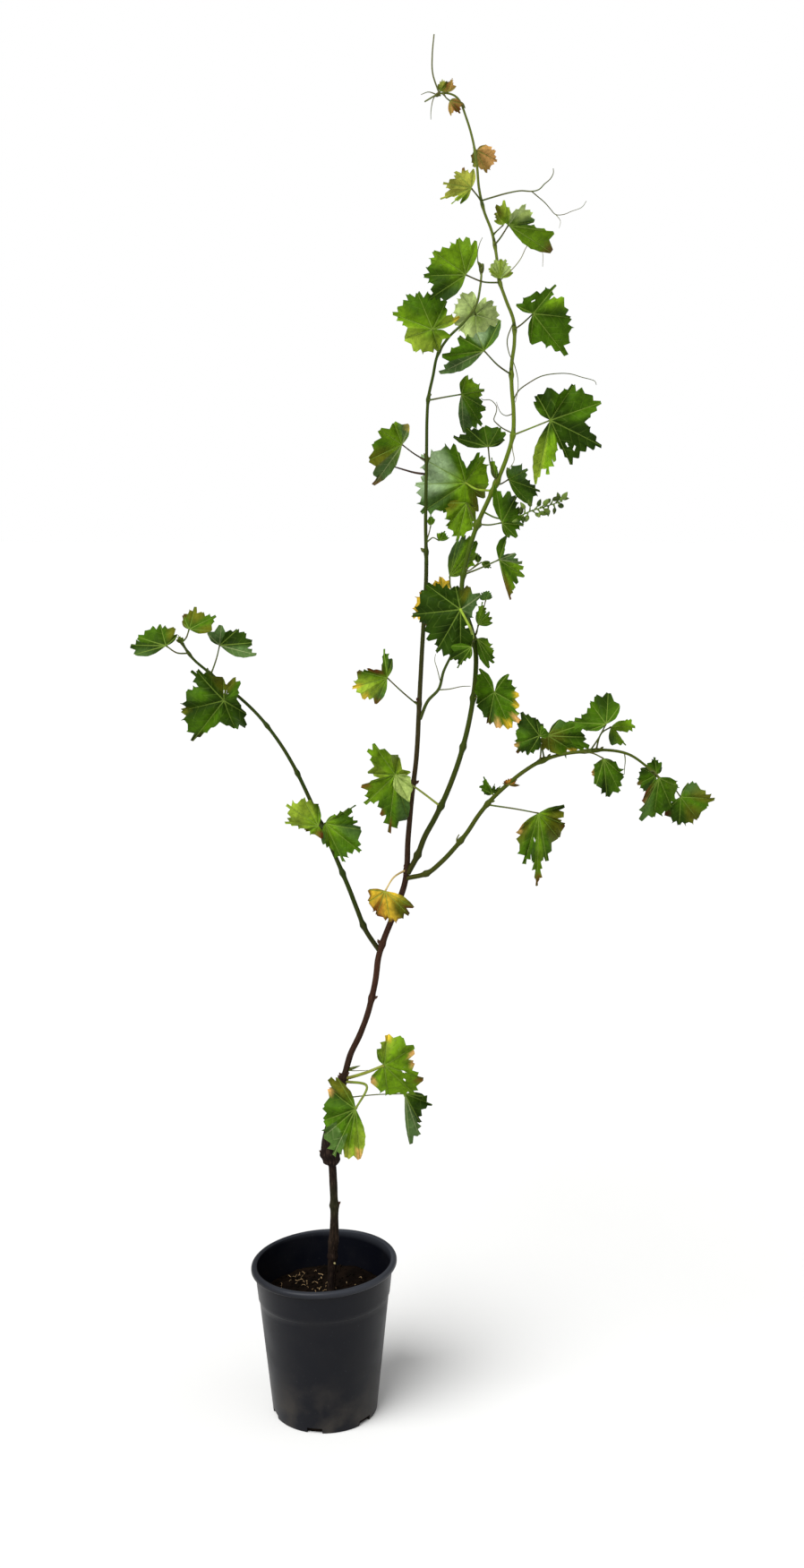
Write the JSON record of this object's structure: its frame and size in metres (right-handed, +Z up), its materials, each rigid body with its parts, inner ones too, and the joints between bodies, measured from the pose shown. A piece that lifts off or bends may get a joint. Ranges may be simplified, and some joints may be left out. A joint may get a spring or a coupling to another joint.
{
  "type": "potted grapevine",
  "caption": "Young grafted grapevine with slender trailing shoots, lobed toothed leaves and tendrils, growing in a round tapered black plastic nursery pot.",
  "frame": {"origin": "centre of the pot's flat underside", "axes": "+Z up along the pot's axis, -Y towards the plant's front, +X to the right seen from the front"},
  "size_m": [0.7488, 0.2127, 1.7921],
  "materials": {
    "plastic": "charcoal black injection-moulded plastic, semi-matte, lightly scuffed and dusty near the base",
    "soil": "dark moist peat potting soil with pale fibres, fully matte",
    "bark": "dark brown stringy woody bark with swollen nodes, matte",
    "green_shoot": "smooth green young shoot, faintly ribbed, slightly waxy",
    "leaf": "green leaf blade with pale veins, satin upper side and grey-green underside"
  },
  "bodies": {
    "root": {"pot": "plastic", "soil": "soil", "trunk": "bark", "cane_lower": "bark", "cane_middle": "bark", "left_leader": "green_shoot", "left_leader_tip": "green_shoot", "tall_shoot_foot": "green_shoot", "tall_shoot_middle": "green_shoot", "tall_shoot_upper": "green_shoot", "tall_shoot_top": "green_shoot", "right_shoot_inner": "green_shoot", "right_shoot_outer": "green_shoot", "left_shoot_inner": "green_shoot", "left_shoot_outer": "green_shoot", "side_shoot": "green_shoot", "top_tendril": "green_shoot", "leaf_graft_right": "leaf", "leaf_graft_hanging": "leaf", "leaf_graft_front": "leaf", "leaf_fork": "leaf", "leaf_left_curled": "leaf", "leaf_left_inner": "leaf", "leaf_left_hanging": "leaf", "leaf_left_far": "leaf", "leaf_left_tip": "leaf", "leaf_left_folded": "leaf", "leaf_mid_bright": "leaf", "leaf_mid_left": "leaf", "leaf_mid_right": "leaf", "leaf_centre_dark": "leaf", "leaf_centre_yellow": "leaf", "leaf_centre_low": "leaf", "leaf_stem_folded": "leaf", "leaf_lower_right": "leaf", "leaf_right_dark": "leaf", "leaf_blossom_right": "leaf", "leaf_big_right": "leaf", "leaf_left_upper": "leaf", "leaf_behind_large": "leaf", "leaf_behind_low": "leaf", "leaf_upright": "leaf", "leaf_wedge": "leaf", "leaf_upper_bright": "leaf", "leaf_upper_left": "leaf", "leaf_pale_behind": "leaf", "leaf_boat": "leaf", "leaf_upper_right": "leaf", "leaf_top_right": "leaf", "leaf_top_yellow": "leaf", "leaf_top_bronze": "leaf", "leaf_right_first": "leaf", "leaf_right_olive": "leaf", "leaf_right_crest": "leaf", "leaf_right_small": "leaf", "leaf_right_hanging": "leaf", "leaf_right_upper": "leaf", "leaf_right_lower": "leaf", "leaf_right_end": "leaf", "leaf_right_drooping": "leaf"}
  },
  "joints": []
}
